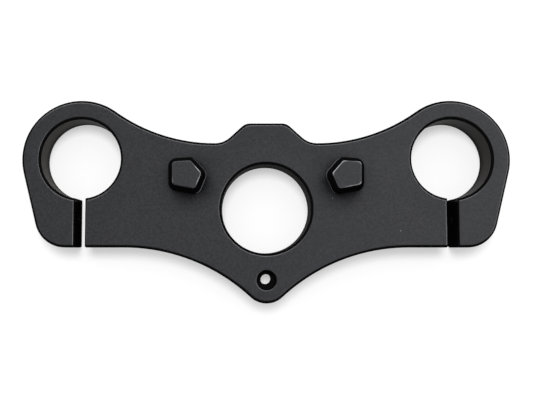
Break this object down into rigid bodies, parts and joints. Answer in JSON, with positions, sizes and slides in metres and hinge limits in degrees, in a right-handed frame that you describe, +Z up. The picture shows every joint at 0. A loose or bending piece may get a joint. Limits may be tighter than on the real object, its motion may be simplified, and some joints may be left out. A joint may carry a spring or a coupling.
{
  "type": "motorcycle triple clamp",
  "caption": "One-piece black aluminium yoke plate with split fork clamps, a stem hole and steering stops.",
  "frame": {"origin": "centre of the stem hole, half way through the plate", "axes": "+X to the right, +Y towards the front wheel, +Z up the steering axis on the side with the stops"},
  "size_m": [0.2636, 0.1094, 0.028],
  "materials": {
    "black_anodised": "blasted and anodised black, fine satin"
  },
  "bodies": {
    "root": {"clamp_plate": "black_anodised"}
  },
  "joints": []
}
